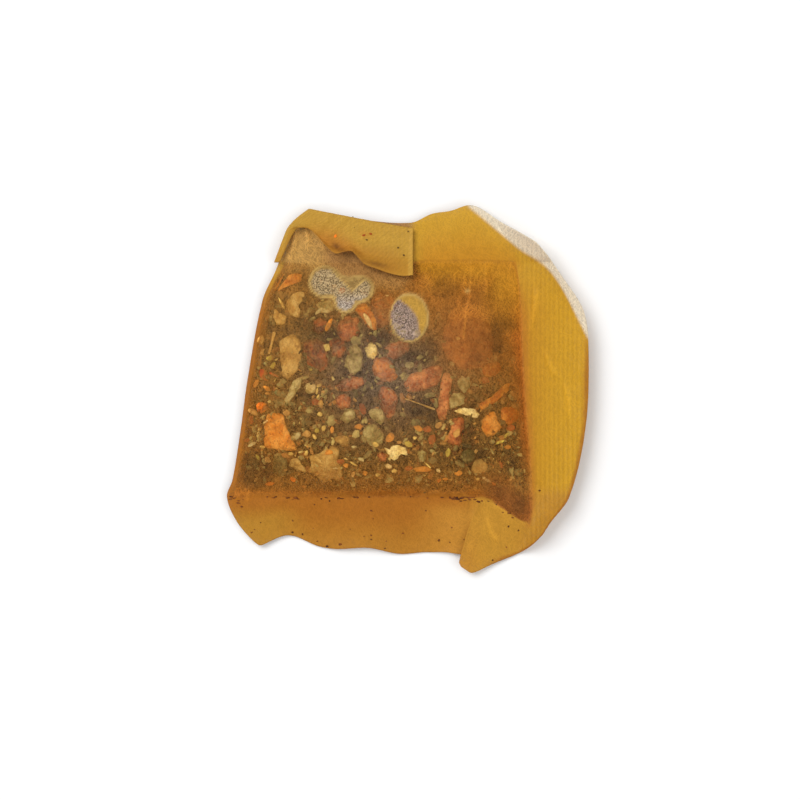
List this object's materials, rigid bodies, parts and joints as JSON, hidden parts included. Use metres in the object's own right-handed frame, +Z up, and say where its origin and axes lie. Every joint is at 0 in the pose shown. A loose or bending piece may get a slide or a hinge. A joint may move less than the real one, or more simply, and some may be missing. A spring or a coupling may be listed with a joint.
{
  "type": "tea bag",
  "caption": "Wet heat-sealed tea bag lying flat: a see-through folded pouch with one end of its margin turned over, filled with peel, berries, leaves and fine-cut herbs.",
  "frame": {"origin": "middle of the bag's plan, on the surface it rests on", "axes": "+Z up, +Y towards the folded-over top margin, +X towards the wide side margin"},
  "size_m": [0.0724, 0.0737, 0.0115],
  "materials": {
    "nonwoven_film": "wet, tea-stained, translucent",
    "fine_cut_herbs": "wet, coarse",
    "orange_peel": "wet, pitted",
    "root_slice": "wet, fibrous",
    "red_berry": "wet, wrinkled",
    "date_piece": "wet, wrinkled",
    "olive_leaf": "wet, veined",
    "flower_petal": "wet, soft",
    "round_seed": "smooth",
    "herb_flake": "wet",
    "straw_stem": "fibrous"
  },
  "bodies": {
    "root": {"date_piece_1": "date_piece", "date_piece_2": "date_piece", "date_piece_3": "date_piece", "filter_pouch": "nonwoven_film", "fine_cut_bed": "fine_cut_herbs", "flower_petal_1": "flower_petal", "flower_petal_2": "flower_petal", "flower_petal_3": "flower_petal", "herb_flake_1": "herb_flake", "herb_flake_2": "herb_flake", "olive_leaf_1": "olive_leaf", "olive_leaf_10": "olive_leaf", "olive_leaf_11": "olive_leaf", "olive_leaf_2": "olive_leaf", "olive_leaf_3": "olive_leaf", "olive_leaf_4": "olive_leaf", "olive_leaf_5": "olive_leaf", "olive_leaf_6": "olive_leaf", "olive_leaf_7": "olive_leaf", "olive_leaf_8": "olive_leaf", "olive_leaf_9": "olive_leaf", "orange_peel_1": "orange_peel", "orange_peel_2": "orange_peel", "orange_peel_3": "orange_peel", "orange_peel_4": "orange_peel", "orange_peel_5": "orange_peel", "orange_peel_6": "orange_peel", "orange_peel_7": "orange_peel", "orange_peel_8": "orange_peel", "red_berry_1": "red_berry", "red_berry_10": "red_berry", "red_berry_11": "red_berry", "red_berry_12": "red_berry", "red_berry_2": "red_berry", "red_berry_3": "red_berry", "red_berry_4": "red_berry", "red_berry_5": "red_berry", "red_berry_6": "red_berry", "red_berry_7": "red_berry", "red_berry_8": "red_berry", "red_berry_9": "red_berry", "root_slice_1": "root_slice", "root_slice_2": "root_slice", "root_slice_3": "root_slice", "root_slice_4": "root_slice", "root_slice_5": "root_slice", "root_slice_6": "root_slice", "root_slice_7": "root_slice", "round_seed_1": "round_seed", "round_seed_2": "round_seed", "round_seed_3": "round_seed", "straw_stem_1": "straw_stem", "straw_stem_2": "straw_stem", "straw_stem_3": "straw_stem"}
  },
  "joints": []
}
